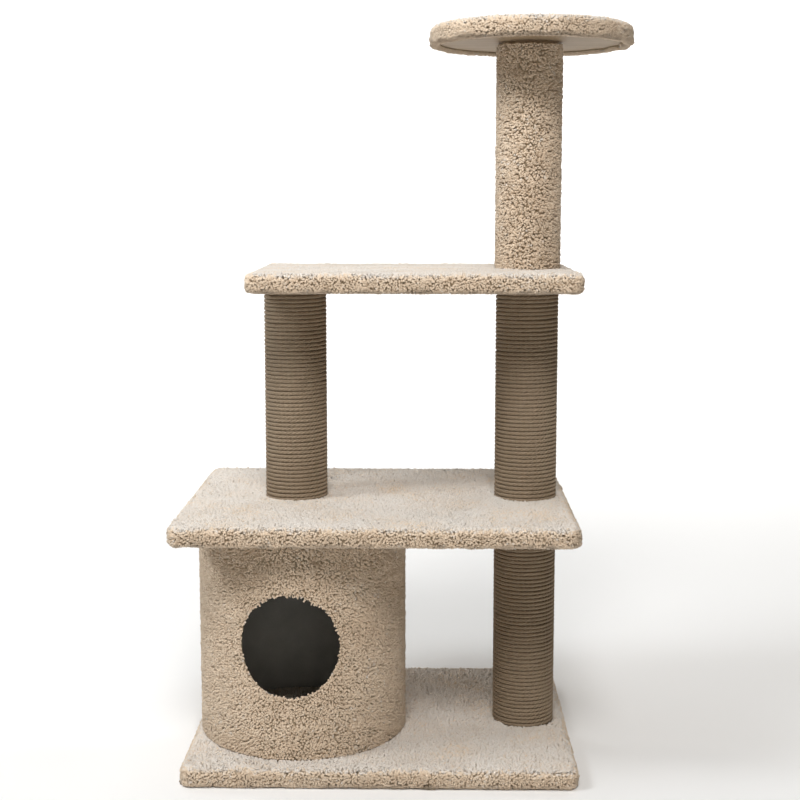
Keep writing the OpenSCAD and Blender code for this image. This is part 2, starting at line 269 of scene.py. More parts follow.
def area_light(name, place, size, power, colour=(1, 1, 1), target=(0, 0, 0.6)):
    """A round light, aimed at the middle of the tree unless a target is given."""
    data = bpy.data.lights.new(name, "AREA")
    data.shape = "DISK"
    data.size = size
    data.energy = power
    data.color = colour
    aim = (Vector(target) - Vector(place)).to_track_quat("-Z", "Y")
    lamp = add_object(name, data)
    lamp.matrix_world = Matrix.LocRotScale(Vector(place), aim, None)


def floor_and_backdrop():
    """A pale floor that sweeps up into a pale backdrop."""
    half, bend_from, bend_r = 6.0, 2.2, 3.0
    rows = [(-half, 0.0), (bend_from, 0.0)]
    rows += [(bend_from + bend_r * math.sin(a), bend_r - bend_r * math.cos(a))
             for a in np.linspace(0, pi / 2, 24)[1:]]
    verts = [(x, y, z) for y, z in rows for x in (-half, half)]
    faces = [(2 * i, 2 * i + 1, 2 * i + 3, 2 * i + 2) for i in range(len(rows) - 1)]
    mesh = bpy.data.meshes.new("floor")
    mesh.from_pydata(verts, [], faces)
    mesh.shade_smooth()
    mesh.materials.append(plain_material("pale_floor", (0.88, 0.88, 0.88), 0.9))
    add_object("floor", mesh)


def studio():
    """A big soft light high in front, a cooler one high on the left, weak ones overhead and
    low in front, two on the backdrop, and a faint warm glow all round."""
    world = bpy.data.worlds.new("studio")
    world.use_nodes = True
    glow = world.node_tree.nodes["Background"].inputs
    glow["Color"].default_value = (1, 0.86, 0.62, 1)
    glow["Strength"].default_value = 0.10
    bpy.context.scene.world = world
    area_light("front", (0, -2.7, 3.4), size=1.3, power=100, colour=(1, 0.99, 0.98))
    area_light("left", (-2.4, -1.0, 2.8), size=1.2, power=54, colour=(0.93, 0.97, 1))
    area_light("overhead", (-0.3, 0, 3.3), size=1.6, power=15, colour=(0.95, 0.98, 1))
    area_light("fill", (0.3, -3.4, 1.0), size=1.4, power=7.5, colour=(1, 0.93, 0.82))
    for name, side in (("backdrop_left", -1), ("backdrop_right", 1)):
        area_light(name, (2.2 * side, 2.6, 3.4), size=1.5, power=104,
                   target=(1.3 * side, 4.8, 1.2))
    bpy.context.scene.view_settings.view_transform = "Standard"


# ------ materials

def plain_material(name, colour, roughness, metallic=0.0):
    material = bpy.data.materials.new(name)
    material.use_nodes = True
    shader = material.node_tree.nodes["Principled BSDF"]
    shader.inputs["Base Color"].default_value = (*colour, 1)
    shader.inputs["Roughness"].default_value = roughness
    shader.inputs["Metallic"].default_value = metallic
    return material


class Nodes:
    """Short hands for a material's node tree."""

    def __init__(self, name, roughness, metallic=0.0):
        self.material = plain_material(name, (0.5, 0.5, 0.5), roughness, metallic)
        self.tree = self.material.node_tree
        self.shader = self.tree.nodes["Principled BSDF"]

    def new(self, kind, **inputs):
        node = self.tree.nodes.new(kind)
        for key, value in inputs.items():
            self.put(node.inputs[key.replace("_", " ")], value)
        return node

    def put(self, socket, value):
        if isinstance(value, bpy.types.NodeSocket):
            self.tree.links.new(value, socket)
        else:
            socket.default_value = value

    def math(self, operation, a, b=0.0, c=0.0):
        node = self.tree.nodes.new("ShaderNodeMath")
        node.operation = operation
        for socket, value in zip(node.inputs, (a, b, c)):
            self.put(socket, value)
        return node.outputs[0]

    def uv(self):
        node = self.tree.nodes.new("ShaderNodeUVMap")
        node.uv_map = UV_NAME
        split = self.new("ShaderNodeSeparateXYZ", Vector=node.outputs[0])
        return split.outputs[0], split.outputs[1]

    def place(self, scale=(1, 1, 1)):
        """The point on the object, in metres, stretched by scale."""
        coordinates = self.tree.nodes.new("ShaderNodeTexCoord")
        return self.new("ShaderNodeMapping", Vector=coordinates.outputs["Object"],
                        Scale=scale).outputs[0]

    def noise(self, vector, scale, detail=3.0, roughness=0.55):
        return self.new("ShaderNodeTexNoise", Vector=vector, Scale=scale, Detail=detail,
                        Roughness=roughness).outputs[0]

    def ramp(self, value, stops):
        node = self.tree.nodes.new("ShaderNodeValToRGB")
        self.put(node.inputs[0], value)
        points = node.color_ramp.elements
        while len(points) < len(stops):
            points.new(0.5)
        for point, (position, colour) in zip(points, stops):
            point.position = position
            point.color = (*colour, 1)
        return node.outputs[0]

    def mix(self, factor, a, b):
        node = self.tree.nodes.new("ShaderNodeMix")
        node.data_type = "RGBA"
        for socket, value in zip((node.inputs[0], node.inputs[6], node.inputs[7]),
                                 (factor, a, b)):
            self.put(socket, (*value, 1) if isinstance(value, tuple) else value)
        return node.outputs[2]

    def colour(self, value):
        self.put(self.shader.inputs["Base Color"], value)

    def bump(self, height, strength, distance):
        node = self.new("ShaderNodeBump", Height=height, Strength=strength, Distance=distance)
        self.put(self.shader.inputs["Normal"], node.outputs[0])

    def sheen(self, weight, roughness, tint):
        self.shader.inputs["Sheen Weight"].default_value = weight
        self.shader.inputs["Sheen Roughness"].default_value = roughness
        self.shader.inputs["Sheen Tint"].default_value = (*tint, 1)
        self.shader.inputs["Specular IOR Level"].default_value = 0.25


TINTS = 32                    # shades of yarn in a pile, each a column of the pile's UV map
NUBBY, LIT_SMOOTH = 0.30, 0.82    # tints of nubby pile, and of smooth pile, whose paleness is painted light from above


def pile_material():
    """Cream yarn in TINTS shades, darkened towards its root by painted shade. The palest shades,
    for smooth pile, are painted light.
    """
    n = Nodes("cream_carpet_yarn", 0.95)
    u, v = n.uv()
    column = n.math("DIVIDE", n.math("FLOOR", n.math("MULTIPLY", u, TINTS)), TINTS - 1.0)
    # Columns up to 0.55 are the nubby yarn. Those from 0.70 are a paler, greyer copy of it:
    # painted light for smooth pile on tops.
    yarn = n.ramp(column, [(0.0, (0.655, 0.51, 0.375)), (0.55, (0.755, 0.62, 0.48)),
                           (0.70, (0.71, 0.63, 0.55)), (1.0, (0.735, 0.685, 0.63))])
    # Painted shade: the yarn darkens from tip to root, standing in for shade in the pile's
    # crevices.
    depth = n.ramp(v, [(0.0, (0, 0, 0)), (0.35, (0.6, 0.6, 0.6)), (0.7, (1, 1, 1))])
    n.colour(n.mix(depth, (0.62, 0.475, 0.34), yarn))
    n.sheen(0.2, 0.5, (0.85, 0.78, 0.68))
    return n.material


def backing_material():
    """A woven jute backing: two sets of threads over and under each other."""
    n = Nodes("jute_backing", 0.9)
    split = n.new("ShaderNodeSeparateXYZ", Vector=n.place())
    x, y, z = split.outputs
    pitch = 2100.0            # radians to a metre, or a thread each 3 mm
    warp, weft = (n.math("SINE", n.math("MULTIPLY", n.math("ADD", across, z), pitch))
                  for across in (x, y))
    weave = n.math("MULTIPLY_ADD", n.math("MULTIPLY", warp, weft), 0.5, 0.5)
    n.colour(n.mix(weave, (0.34, 0.27, 0.18), (0.54, 0.45, 0.33)))
    n.bump(weave, 0.4, 0.0004)
    return n.material


ROPE_LANES = 16               # lengths of strand side by side in the ropes' UV map
LANE_STEPS = 25               # steps of strand in each


def sisal_material():
    """Dry fibres that run slantwise along each strand, from straw to brown."""
    n = Nodes("sisal_rope", 0.88)
    u, v = n.uv()
    lane = n.math("MULTIPLY", u, ROPE_LANES)
    across = n.math("MULTIPLY", lane, 10.7)    # in mm, as along is
    along = n.math("MULTIPLY", v, 80.0)
    lean = n.math("MULTIPLY_ADD", along, 0.45, across)
    thread = n.new("ShaderNodeCombineXYZ", X=n.math("MULTIPLY", lean, 3.2),
                   Y=n.math("MULTIPLY", along, 0.10)).outputs[0]
    fibres = n.noise(thread, 1.0, 4.0, 0.6)
    patch = n.new("ShaderNodeCombineXYZ", X=n.math("FLOOR", lane),
                  Y=n.math("MULTIPLY", v, 2.5)).outputs[0]
    blotch = n.noise(patch, 1.0, 2.0)
    straw = n.ramp(fibres, [(0.28, (0.155, 0.11, 0.067)), (0.50, (0.34, 0.26, 0.18)),
                            (0.74, (0.515, 0.415, 0.31))])
    n.colour(n.mix(n.math("MULTIPLY", blotch, 0.45), straw, (0.275, 0.20, 0.126)))
    n.bump(fibres, 0.7, 0.0005)
    return n.material


def fibre_material():
    n = Nodes("sisal_fibre", 0.8)
    u, _ = n.uv()
    n.colour(n.ramp(u, [(0.0, (0.37, 0.28, 0.19)), (1.0, (0.60, 0.49, 0.37))]))
    return n.material


def felt_material():
    """Charcoal needle felt: short fibres in every direction."""
    n = Nodes("charcoal_needle_felt", 0.97)
    where = n.place()
    fuzz = n.noise(where, 900.0, 4.0, 0.7)
    cloud = n.noise(where, 18.0, 2.0)
    shade = n.math("MULTIPLY_ADD", cloud, 0.4, n.math("MULTIPLY", fuzz, 0.6))
    n.colour(n.ramp(shade, [(0.30, (0.31, 0.315, 0.31)), (0.72, (0.56, 0.57, 0.56))]))
    n.bump(fuzz, 0.7, 0.0008)
    n.sheen(0.2, 0.6, (0.5, 0.5, 0.5))
    return n.material


def plywood_material():
    """Pale sanded face veneer with long soft grain and dark pores."""
    n = Nodes("birch_plywood", 0.6)
    grain = n.noise(n.place((3.0, 60.0, 140.0)), 1.6, 5.0, 0.6)
    pores = n.noise(n.place((18.0, 420.0, 420.0)), 1.5, 2.0)
    tone = n.ramp(grain, [(0.32, (0.26, 0.18, 0.107)), (0.5, (0.325, 0.235, 0.145)),
                          (0.68, (0.365, 0.27, 0.17))])
    n.colour(n.mix(n.ramp(pores, [(0.34, (0.7, 0.7, 0.7)), (0.44, (0, 0, 0))]), tone,
                   (0.21, 0.15, 0.095)))
    n.bump(pores, 0.15, 0.0003)
    return n.material


def pine_material():
    """Turned pine, with growth rings in its end grain."""
    n = Nodes("turned_pine", 0.65)
    rings = n.new("ShaderNodeTexWave", Vector=n.place(), Scale=95.0, Distortion=3.0,
                  Detail=2.0, Detail_Scale=1.0)
    rings.wave_type = "RINGS"
    rings.rings_direction = "Z"
    ring = rings.outputs["Fac"]
    n.colour(n.ramp(ring, [(0.2, (0.70, 0.50, 0.28)), (0.8, (0.50, 0.31, 0.14))]))
    n.bump(ring, 0.12, 0.0003)
    return n.material


def paper_material(name, pale, dark, wind):
    """Spiral-wound paper, with the edge of a ply that climbs round the tube."""
    n = Nodes(name, 0.8)
    where = n.place()
    x, y, z = n.new("ShaderNodeSeparateXYZ", Vector=where).outputs
    angle = n.math("DIVIDE", n.math("ARCTAN2", y, x), tau)
    turn = n.math("FRACT", n.math("MULTIPLY_ADD", z, wind, angle))
    seam = n.ramp(turn, [(0.0, (0.55, 0.55, 0.55)), (0.03, (0, 0, 0))])
    pulp = n.noise(where, 420.0, 4.0, 0.7)
    tone = n.ramp(pulp, [(0.3, dark), (0.7, pale)])
    n.colour(n.mix(seam, tone, tuple(0.6 * c for c in dark)))
    n.bump(pulp, 0.2, 0.0003)
    return n.material


def metal_material(name, bright, dull, roughness):
    """Plated steel: a cloudy finish with fine scratches."""
    n = Nodes(name, roughness, 1.0)
    cloud = n.noise(n.place(), 160.0, 4.0, 0.6)
    n.colour(n.ramp(cloud, [(0.35, dull), (0.65, bright)]))
    scratches = n.noise(n.place((1800.0, 160.0, 160.0)), 1.0, 3.0)
    n.put(n.shader.inputs["Roughness"],
          n.math("MULTIPLY_ADD", scratches, 0.25, roughness - 0.12))
    return n.material


# ------ meshes

def mesh_from_arrays(name, verts, faces, uv=None, normals=None):
    """A smooth mesh. faces is a list of index arrays, one row a face, of 3 or 4 corners each.
    uv is one row for each vertex, or one for each corner in the order of the faces."""
    mesh = bpy.data.meshes.new(name)
    corners = np.concatenate([f.reshape(-1) for f in faces]).astype(np.int32)
    sizes = np.concatenate([np.full(len(f), f.shape[1]) for f in faces]).astype(np.int32)
    starts = np.concatenate([[0], np.cumsum(sizes)[:-1]]).astype(np.int32)
    mesh.vertices.add(len(verts))
    mesh.vertices.foreach_set("co", np.ascontiguousarray(verts, np.float32).reshape(-1))
    mesh.loops.add(len(corners))
    mesh.loops.foreach_set("vertex_index", corners)
    mesh.polygons.add(len(sizes))
    mesh.polygons.foreach_set("loop_start", starts)
    mesh.polygons.foreach_set("use_smooth", np.ones(len(sizes), bool))
    if uv is not None:
        layer = mesh.uv_layers.new(name=UV_NAME)
        rows = uv if len(uv) == len(corners) else uv[corners]
        layer.data.foreach_set("uv", np.ascontiguousarray(rows, np.float32).reshape(-1))
    mesh.update(calc_edges=True)
    mesh.validate()
    if normals is not None:
        mesh.normals_split_custom_set_from_vertices(normals.tolist())
    return mesh


def new_object(name, mesh, material):
    mesh.materials.append(material)
    obj = add_object(name, mesh)
    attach(obj, BODY)
    return obj


def inside(points, loop):
    """Which points lie inside the closed outline loop."""
    within = np.zeros(len(points), bool)
    for (ax, ay), (bx, by) in zip(loop, np.roll(loop, -1, axis=0)):
        if ay != by:
            crosses = (points[:, 1] > ay) != (points[:, 1] > by)
            at = (bx - ax) * (points[:, 1] - ay) / (by - ay) + ax
            within ^= crosses & (points[:, 0] < at)
    return within


def nearest(points, loop):
    """How far each point is from the loop's nearest point."""
    gap = np.full(len(points), np.inf)
    for corner in loop:
        gap = np.minimum(gap, np.linalg.norm(points - corner, axis=1))
    return gap


def between(points, outer, holes, margin=0.0):
    """Which points lie in the outline outer but in none of the holes, a margin off both."""
    found = inside(points, outer) & (nearest(points, outer) > margin)
    for hole in holes:
        found &= ~inside(points, hole) & (nearest(points, hole) > margin)
    return found


def flat_patch(outer, holes, spacing):
    """Triangles that fill the outline outer, less the outlines holes, on points about spacing
    apart. The outlines' own points come first."""
    low, high = outer.min(0), outer.max(0)
    xs = np.arange(low[0] + spacing / 2, high[0], spacing)
    ys = np.arange(low[1] + spacing / 2, high[1], spacing)
    grid = np.stack(np.meshgrid(xs, ys), -1).reshape(-1, 2)
    grid = grid[between(grid, outer, holes, 0.5 * spacing)]
    loops = [outer, *holes]
    edges, start = [], 0
    for loop in loops:
        count = len(loop)
        edges += [(start + i, start + (i + 1) % count) for i in range(count)]
        start += count
    points = [Vector(point) for point in np.concatenate([*loops, grid])]
    inside_only, weld = 1, 1e-7
    out = delaunay_2d_cdt(points, edges, [], inside_only, weld)
    flat = np.array([tuple(point) for point in out[0]])
    faces = np.array([face for face in out[2] if len(face) == 3])
    return flat, faces[between(flat[faces].mean(1), outer, holes)]


def closed_sheet(name, verts, normals, faces, thickness=BACKING_T - BACKING_GAP,
                 material=None, slot="cream_carpet"):
    """Gives an open surface a thickness on the side away from its normals. It is a carpet's
    jute backing unless it is told otherwise."""
    count = len(verts)
    pairs = np.concatenate([np.stack([f, np.roll(f, -1, axis=1)], -1).reshape(-1, 2)
                            for f in faces])
    key = np.sort(pairs, axis=1)
    _, where, uses = np.unique(key, axis=0, return_inverse=True, return_counts=True)
    rim = pairs[uses[where.reshape(-1)] == 1]
    walls = np.stack([rim[:, 1], rim[:, 0], rim[:, 0] + count, rim[:, 1] + count], 1)
    both = np.concatenate([verts, verts - normals * thickness])
    backs = [f[:, ::-1] + count for f in faces]
    mesh = mesh_from_arrays(name, both, [*faces, *backs, walls])
    return new_object(name, mesh, material or JUTE)


def tube_walls(rings, sides):
    """The quads of a small tube whose corners run ring by ring."""
    return [[k * sides + j, k * sides + (j + 1) % sides, (k + 1) * sides + (j + 1) % sides,
             (k + 1) * sides + j] for k in range(rings - 1) for j in range(sides)]


def repeated(parts, count, size):
    """The faces of count copies of a small form of size vertices, whose faces are in parts."""
    first = (np.arange(count) * size)[:, None, None]
    return [(np.array(part)[None] + first).reshape(-1, len(part[0])) for part in parts]


def unit(vectors):
    return vectors / np.linalg.norm(vectors, axis=1)[:, None]


# ------ pile

def smooth_noise(rng, spots, cell, waves=24):
    """A smooth random field over 3-D spots, about 0 with a spread of 1, with hills about a
    cell across."""
    total = np.zeros(len(spots))
    for _ in range(waves):
        direction = rng.normal(size=3)
        direction *= (tau / cell) * rng.uniform(0.5, 1.3) / np.linalg.norm(direction)
        total += np.cos(spots @ direction + rng.uniform(0, tau))
    return total * math.sqrt(2.0 / waves)


CLUMPS = 0.18                 # clumps to a tuft


def clump_pull(rng, roots):
    """From each root to the middle of its clump, which is a root taken at random."""
    count = max(1, int(len(roots) * CLUMPS))
    centres = roots[rng.choice(len(roots), count, replace=False)]
    tree = KDTree(count)
    for i, centre in enumerate(centres):
        tree.insert(centre, i)
    tree.balance()
    found = np.array([tree.find(root)[1] for root in roots])
    return centres[found] - roots


SIDES = 3                     # of a tuft's section
RINGS = ((0.0, 0.70), (0.5, 1.0), (0.90, 0.98))   # shares of its length and of its width
TWIST = 1.2                   # how far its section turns from root to tip
ROOT_DEPTH = 0.4 * MM         # of its root in the backing
FLOOR_GAP = 0.2 * MM          # from the floor to the tufts that the base crushes
FUZZ, SOFT_FUZZ = 0.5, 0.65   # how far a tuft is shaded as part of the pile's even surface


def tuft_mesh(rng, name, roots, normals, leans, length, width, tilt, bend, tint, fuzz):
    """A mesh of yarn tufts. Each starts at its root, tilted from its normal towards its lean,
    bends further over along its length, and ends in a blunt tip."""
    count = len(roots)
    across = unit(np.cross(normals, leans))
    leans = np.cross(across, normals)
    sway = width * rng.uniform(-0.5, 0.5, count)
    spin = rng.uniform(0, tau, count)
    size = len(RINGS) * SIDES + 1
    verts = np.empty((count, size, 3), np.float32)
    facing = np.empty((count, size, 3), np.float32)
    uv = np.empty((count, size, 2), np.float32)
    column = np.floor(tint.clip(0, 0.9999) * TINTS)

    def spine(share):
        angle = tilt + bend * share
        ahead = length * (np.cos(tilt) - np.cos(angle)) / bend
        rise = length * (np.sin(angle) - np.sin(tilt)) / bend
        sideways = sway * math.sin(pi * share)
        return (roots + normals * rise[:, None] + leans * ahead[:, None]
                + across * sideways[:, None]), angle

    for ring, (share, swell) in enumerate(RINGS):
        centre, angle = spine(share)
        upward = leans * -np.cos(angle)[:, None] + normals * np.sin(angle)[:, None]
        radius = (width / 2 * swell)[:, None]
        for side in range(SIDES):
            turn = spin + tau * side / SIDES + TWIST * share
            way = across * np.cos(turn)[:, None] + upward * np.sin(turn)[:, None]
            corner = ring * SIDES + side
            verts[:, corner] = centre + way * radius
            facing[:, corner] = way * (1 - fuzz) + normals * fuzz
            uv[:, corner, 0] = (column + 0.15 + 0.35 * side) / TINTS
            uv[:, corner, 1] = 0.02 + 0.96 * share
    verts[:, -1] = spine(1.0)[0]
    verts[:, :, 2] = verts[:, :, 2].clip(FLOOR_GAP, None)
    facing[:, -1] = normals
    uv[:, -1] = np.stack([(column + 0.5) / TINTS, np.full(count, 0.98)], 1)
    return mesh_from_arrays(name, verts.reshape(-1, 3), tuft_faces(count, size),
                            uv.reshape(-1, 2), unit(facing.reshape(-1, 3)))


def tuft_faces(count, size):
    """The sides, tips and root caps of count tufts of size vertices each."""
    last = (len(RINGS) - 1) * SIDES
    tips = [[last + side, last + (side + 1) % SIDES, size - 1] for side in range(SIDES)]
    root_cap = list(range(SIDES))[::-1]
    return repeated([tube_walls(len(RINGS), SIDES), tips + [root_cap]], count, size)


MOST_TUFTS = 11000            # in one piece of pile


def pile(rng, name, roots, normals, towards, height, width, shade=NUBBY, mottle=0.14,
         fuzz=FUZZ):
    """Tufts that reach this height over their roots, as pieces of at most MOST_TUFTS each.
    towards is how far each tip lies from over its root, in heights. Returns the pieces."""
    count = len(roots)
    roots = roots - normals * ROOT_DEPTH
    towards = towards - normals * np.sum(towards * normals, axis=1)[:, None]
    reach = np.linalg.norm(towards, axis=1).clip(0.05, 3.0)
    bend = np.arctan(reach)
    tilt = bend / 2
    length = height * bend / (np.sin(tilt + bend) - np.sin(tilt))
    slow = smooth_noise(rng, roots, 90 * MM) * 0.06
    tint = shade + slow + rng.normal(0, mottle, count)
    parts = math.ceil(count / MOST_TUFTS)
    longest = int(np.argmax(np.ptp(roots, axis=0)))
    order = np.argsort(roots[:, longest], kind="stable")
    pieces = []
    for part in range(parts):
        pick = order[part * count // parts:(part + 1) * count // parts]
        label = name if parts == 1 else f"{name}_{part + 1}"
        mesh = tuft_mesh(rng, label, roots[pick], normals[pick], towards[pick], length[pick],
                         width[pick], tilt[pick], bend[pick], tint[pick], fuzz)
        pieces.append(new_object(label, mesh, YARN))
    return pieces


def uneven_grid(rng, low, high, gap):
    """Points near those of a triangular grid that fills the rectangle from low to high."""
    rows = round((high[1] - low[1]) / (gap * ROW_STEP)) + 1
    xs = np.arange(low[0], high[0], gap)
    ys = np.linspace(low[1], high[1], rows)
    grid = np.stack(np.meshgrid(xs, ys), -1)
    grid[1::2, :, 0] += gap / 2
    spots = grid.reshape(-1, 2)
    return spots + rng.normal(0, 0.17 * gap, spots.shape)


TOP_GAP = 4.0 * MM            # between tufts on top of a board
EDGE_GAP = 3.0 * MM           # round its edge
WALL_GAP = 3.3 * MM           # on the condo
POST_GAP = 3.1 * MM           # on the perch's post
FRINGE_GAP = 1.8 * MM         # round the condo's door
ROUND_LIP, LIP = 1.3, 0.85    # heights of the pile under a board, in the room left for it
EDGE_CLUMPING, CONDO_CLUMPING, POST_CLUMPING = 0.10, 0.18, 0.38


def top_pile(rng, name, outline, level, top, feet):
    """Smooth plush inside the outline, clear of what stands on it (x, y, radius). Its paler tint
    is painted light.
    """
    spots = uneven_grid(rng, outline.min(0), outline.max(0), TOP_GAP)
    keep = inside(spots, outline)
    push = np.zeros_like(spots)
    for x, y, radius in feet:
        away = spots - (x, y)
        distance = np.linalg.norm(away, axis=1)
        keep &= distance > radius + 0.8 * MM
        near = np.exp(-((distance - radius) / (4 * MM)).clip(0, None))
        push += away / distance[:, None] * near[:, None] * 0.3
    spots, push = spots[keep], push[keep]
    count = len(spots)
    roots = lifted(spots, level)
    normals = lifted(np.zeros_like(spots), 1.0)
    sweep = 1.3 * smooth_noise(rng, roots, 160 * MM) + rng.normal(0, 0.7, count)
    strength = rng.uniform(0.15, 0.6, count)
    towards = lifted(heading(sweep) * strength[:, None] + push)
    height = (top - level) * (1.0 + 0.03 * rng.normal(size=count)
                              + 0.04 * smooth_noise(rng, roots, 45 * MM))
    width = rng.normal(1.18, 0.08, count).clip(0.95, 1.4) * TOP_GAP
    return pile(rng, name, roots, normals, towards, height, width, LIT_SMOOTH, 0.09, SOFT_FUZZ)


def nubby_towards(rng, roots, height, clumping):
    """Where the tips of nubby pile lie: drawn together in clumps, in slow swirls."""
    pull = clump_pull(rng, roots) * clumping / height[:, None]
    flow = np.stack([smooth_noise(rng, roots, 26 * MM) for _ in range(3)], 1) * 0.26
    stray = rng.normal(0, 0.16, roots.shape)
    return pull + flow + stray


def nubby_width(rng, count, gap):
    """Widths of tufts that stand a gap apart and just cover their backing."""
    return rng.normal(1.3, 0.1, count).clip(1.0, 1.6) * gap


def edge_spots(rng, slab):
    """Uneven rows of spots round the edge: shares of the way round, and lengths s."""
    turns, lengths = [], []
    for s_row in slab.rows(EDGE_GAP * ROW_STEP):
        inset = slab.wrap([s_row])[0][0]
        count = int((slab.girth() - tau * min(inset, CORNER_R)) / EDGE_GAP)
        start = rng.uniform(0, 1)
        turns.append((np.arange(count) + start + rng.normal(0, 0.18, count)) / count % 1.0)
        lengths.append(s_row + rng.normal(0, 0.18 * EDGE_GAP, count))
    return np.concatenate(turns), np.concatenate(lengths).clip(0, slab.wrap_length())


def edge_pile(rng, slab, posts):
    """Nubby pile round the edge of a board and over the lip folded under it. posts are what
    the lip is cut back round."""
    turn, s = edge_spots(rng, slab)
    inset, level, out_share, up_share = slab.wrap(s)
    under = (-up_share).clip(0, 1) ** 2
    inset -= under * lip_wave(turn, slab)
    plan, out = slab.at(turn, inset)
    keep = np.ones(len(plan), bool)
    for post in posts:
        keep &= np.linalg.norm(plan - post.centre, axis=1) > post.radius + 1.2 * MM
    plan, out, level, under = plan[keep], out[keep], level[keep], under[keep]
    out_share, up_share = out_share[keep, None], up_share[keep, None]
    count = len(plan)
    roots = lifted(plan, level)
    normals = np.column_stack([out * out_share, up_share])
    top_h = slab.top - slab.board.top - BACKING_T
    side_h = slab.side_t - BACKING_T
    under_h = (slab.board.low - slab.low - BACKING_T) * (ROUND_LIP if slab.is_round else LIP)
    over = up_share[:, 0].clip(0, 1) ** 2
    corner = 1 + 0.10 * (1 - np.abs(np.abs(up_share[:, 0]) * 2 - 1).clip(0, 1))
    height = side_h * (1 - under - over) + top_h * over + under_h * under
    height = height * corner * rng.normal(1.0, 0.06, count)
    towards = nubby_towards(rng, roots, height.clip(3 * MM, None), EDGE_CLUMPING)
    towards[:, :2] += out * (1.7 * under)[:, None]
    width = nubby_width(rng, count, EDGE_GAP) * (1 - 0.2 * under)
    # Tufts that turn over onto the top take on the top pile's paler tint: painted light.
    shade = NUBBY + (LIT_SMOOTH - NUBBY) * (1.3 * over - 0.2).clip(0, 1)
    return pile(rng, slab.name + "_edge_pile", roots, normals, towards, height, width, shade,
                fuzz=SOFT_FUZZ)


def lip_wave(turn, slab):
    """How far the lip's trimmed edge is cut back, round the board, as it is cut by hand."""
    rng = np.random.default_rng(len(slab.name) + 40)
    shortest = 40 * MM
    most = max(6, int(slab.girth() / shortest))
    total = np.zeros_like(turn)
    for _ in range(8):
        waves = rng.integers(most // 3, most)
        total += np.sin(tau * waves * turn + rng.uniform(0, tau))
    return 1.6 * MM * (1 + total / 2.5)


def wall_pile(rng, name, wall, gap, clumping, hole=None):
    """Nubby pile on a wall, up to its seam and round its hole (across, height, half width,
    half height). The tufts round the hole lean into it."""
    wide = wall.half_girth()
    margin = 1.2 * MM
    spots = uneven_grid(rng, (-wide, wall.low + margin), (wide, wall.top - margin), gap)
    spots[:, 1] = spots[:, 1].clip(wall.low + margin, wall.top - margin)
    keep = np.abs(spots[:, 0]) < wide
    inward = np.zeros_like(spots)
    if hole:
        x, y, half_w, half_h = hole
        away = (spots - (x, y)) / (half_w, half_h)
        share = np.linalg.norm(away, axis=1)
        past = (share - 1) * half_w
        keep &= past > 0.6 * MM
        near = np.exp(-(past / (2.2 * MM)).clip(0, 50))
        inward -= away / share[:, None] * near[:, None] * 0.55
    spots, inward = spots[keep], inward[keep]
    roots, normals, along = wall.at(spots[:, 0], spots[:, 1])
    count = len(roots)
    height = (wall.face - wall.radius) * rng.normal(0.92, 0.06, count)
    towards = nubby_towards(rng, roots, height, clumping)
    towards += along * inward[:, :1]
    towards[:, 2] += inward[:, 1]
    upright = 4 * MM          # from either end, where the tufts lean up or down less and less
    past_foot = ((wall.low + upright - spots[:, 1]) / upright).clip(0, 1)
    past_head = ((spots[:, 1] - wall.top + upright) / upright).clip(0, 1)
    towards[:, 2] *= 1 - past_foot - past_head
    return pile(rng, name, roots, normals, towards, height, nubby_width(rng, count, gap))


def fringe_pile(rng, name, wall, hole):
    """A ragged ring of tufts on the cut edge of a hole, that lean into the hole."""
    x, y, half_w, half_h = hole
    count = int(tau * half_w / FRINGE_GAP)
    angle = (np.arange(count) + rng.normal(0, 0.25, count)) / count * tau
    past = rng.uniform(-0.3, 2.2, count) * MM
    roots, normals, along = wall.at(x + (half_w + past) * np.cos(angle),
                                    y + (half_h + past) * np.sin(angle))
    inward = -(along * np.cos(angle)[:, None])
    inward[:, 2] -= np.sin(angle)
    height = (wall.face - wall.radius) * rng.uniform(0.4, 0.85, count)
    towards = inward * rng.uniform(0.2, 1.15, count)[:, None] + rng.normal(0, 0.4, roots.shape)
    width = rng.normal(3.2, 0.3, count).clip(2.2, 4.2) * MM
    return pile(rng, name, roots, normals, towards, height, width)


# ------ carpets on boards

RIM_STEPS = 240               # corners of a board's backing round its edge
LIP_FROM = 0.70               # the share of a wrap at which its flat lip has begun


def board_backing(slab, holes, posts):
    """The backing sheet over a board: its flat top, the bend, the side and the lip."""
    count = RIM_STEPS
    steps = np.concatenate([np.linspace(0, LIP_FROM - 0.08, 12), np.linspace(LIP_FROM, 1, 5)])
    turn = even_turns(count)
    outer = slab.outline(count, slab.wrap([0.0])[0][0])
    flat, triangles = flat_patch(outer, holes, 12 * MM)
    verts = [lifted(flat, slab.board.top + BACKING_T)]
    normals = [lifted(np.zeros_like(flat), 1.0)]
    ring, start, quads = np.arange(count), len(flat), []
    for s in steps[1:] * slab.wrap_length():
        inset, height, out_share, up_share = (x[0] for x in slab.wrap([s]))
        is_lip = up_share < -0.99
        insets = np.full(count, inset) - (lip_wave(turn, slab) if is_lip else 0)
        plan, out = slab.at(turn, insets)
        for post in posts if is_lip else ():
            past = post.radius + 0.6 * MM - np.linalg.norm(plan - post.centre, axis=1)
            plan += out * past.clip(0, None)[:, None]
        verts.append(lifted(plan, height))
        normals.append(lifted(out * out_share, up_share))
        after = np.arange(start, start + count)
        quads.append(np.stack([after, np.roll(after, -1), np.roll(ring, -1), ring], 1))
        ring, start = after, start + count
    return closed_sheet(slab.name + "_carpet_backing", np.concatenate(verts),
                        np.concatenate(normals), [triangles, np.concatenate(quads)])


